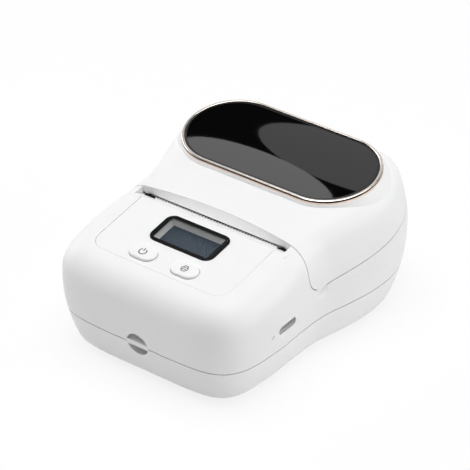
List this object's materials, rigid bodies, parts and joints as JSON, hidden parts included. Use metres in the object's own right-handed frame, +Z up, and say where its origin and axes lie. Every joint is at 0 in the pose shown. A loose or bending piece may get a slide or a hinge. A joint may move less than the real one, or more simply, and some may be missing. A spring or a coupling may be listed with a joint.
{
  "type": "thermal label printer",
  "caption": "Portable thermal label printer with a hinged roll cover, sloping control panel with display and keys, paper mouth with tear bar and a side charging socket.",
  "frame": {"origin": "middle of the footprint at the underside of the rubber feet", "axes": "+X to the right seen from the front, +Y from the front towards the hinge, +Z up"},
  "size_m": [0.082, 0.1031, 0.0493],
  "materials": {
    "case_white": "satin with a fine moulded grain",
    "panel_white": "smooth satin",
    "key_white": "smooth satin",
    "oval_black": "piano gloss",
    "trim_gold": "polished rose gold plating",
    "bezel_black": "semi gloss",
    "window_clear": "clear",
    "frame_grey": "matt light reflector",
    "display_dark": "unlit display glass",
    "board_green": "solder mask",
    "switch_dark": "matt",
    "battery_wrap": "shrink film",
    "socket_steel": "plated sheet",
    "lamp_clear": "milky light pipe",
    "frame_steel": "zinc plated sheet",
    "gear_white": "natural acetal",
    "motor_steel": "plated can",
    "pinion_brass": "turned",
    "sink_aluminium": "extruded",
    "head_ceramic": "glazed ceramic",
    "spring_steel": "spring sheet",
    "shaft_steel": "ground",
    "carrier_grey": "matt",
    "platen_black": "ground rubber",
    "tear_steel": "stamped stainless",
    "tub_grey": "matt",
    "guide_grey": "matt",
    "foot_rubber": "soft rubber",
    "screw_steel": "black plated"
  },
  "bodies": {
    "base": {"lower_shell": "case_white", "upper_shell": "case_white", "hinge_pin": "shaft_steel", "control_panel": "panel_white", "display_bezel": "bezel_black", "display_window": "window_clear", "display_frame": "frame_grey", "display_glass": "display_dark", "panel_board": "board_green", "tact_switches": "switch_dark", "main_board": "board_green", "battery_pack": "battery_wrap", "usb_socket": "socket_steel", "charge_light": "lamp_clear", "mech_frame": "frame_steel", "idler_pin": "shaft_steel", "motor": "motor_steel", "head_pin": "shaft_steel", "head_springs": "spring_steel", "tear_bar": "tear_steel", "roll_tub": "tub_grey", "guide_keeper": "tub_grey", "paper_sensor": "switch_dark", "rubber_feet": "foot_rubber", "case_screws": "screw_steel"},
    "lid": {"lid_shell": "case_white", "lid_plate": "oval_black", "lid_trim": "trim_gold", "platen_carrier": "carrier_grey", "platen_bushes": "gear_white", "carrier_screws": "screw_steel"},
    "platen": {"platen_shaft": "shaft_steel", "platen_rubber": "platen_black", "platen_gear": "gear_white"},
    "idler": {"idler_gear": "gear_white"},
    "motor_rotor": {"motor_pinion": "pinion_brass"},
    "print_head": {"head_sink": "sink_aluminium", "head_ceramic": "head_ceramic"},
    "power_key": {"power_button": "key_white"},
    "print_key": {"print_button": "key_white"},
    "right_guide": {"guide_right": "guide_grey"},
    "left_guide": {"guide_left": "guide_grey"},
    "guide_gear": {"guide_pinion": "gear_white"}
  },
  "joints": [
    {"name": "lid_hinge", "type": "hinge", "parent": "base", "child": "lid", "pos_m": [0, 0.0491, 0.03256], "axis": [-1, 0, 0], "range_deg": [0, 95]},
    {"name": "platen_spin", "type": "hinge", "parent": "lid", "child": "platen", "pos_m": [0, -0.005, 0.0304], "axis": [1, 0, 0], "continuous": true},
    {"name": "idler_spin", "type": "hinge", "parent": "base", "child": "idler", "pos_m": [-0.0305, -0.005, 0.0204], "axis": [1, 0, 0], "continuous": true},
    {"name": "motor_spin", "type": "hinge", "parent": "base", "child": "motor_rotor", "pos_m": [-0.0305, -0.0095, 0.01319], "axis": [1, 0, 0], "continuous": true},
    {"name": "head_rock", "type": "hinge", "parent": "base", "child": "print_head", "pos_m": [0, -0.0123, 0.0232], "axis": [1, 0, 0], "range_deg": [0, 3], "stiffness_Nm_per_rad": 0.5, "deforming": ["head_springs"]},
    {"name": "power_press", "type": "slide", "parent": "base", "child": "power_key", "axis": [0, 0.1478, -0.989], "range_m": [0, 0.0007], "stiffness_N_per_m": 600},
    {"name": "print_press", "type": "slide", "parent": "base", "child": "print_key", "axis": [0, 0.1478, -0.989], "range_m": [0, 0.0007], "stiffness_N_per_m": 600},
    {"name": "right_guide_slide", "type": "slide", "parent": "base", "child": "right_guide", "axis": [-1, 0, 0], "range_m": [0, 0.01508]},
    {"name": "left_guide_slide", "type": "slide", "parent": "base", "child": "left_guide", "axis": [1, 0, 0], "range_m": [0, 0.01508]},
    {"name": "guide_gear_spin", "type": "hinge", "parent": "base", "child": "guide_gear", "pos_m": [0, 0.0072, 0.0058], "axis": [0, 0, 1], "range_deg": [0, 541]}
  ],
  "couplings": [
    {"joint": "idler_spin", "follows": "platen_spin", "ratio": -0.66667},
    {"joint": "motor_spin", "follows": "platen_spin", "ratio": 1.6},
    {"joint": "left_guide_slide", "follows": "right_guide_slide", "ratio": 1},
    {"joint": "guide_gear_spin", "follows": "right_guide_slide", "rad_per_m": 625}
  ]
}
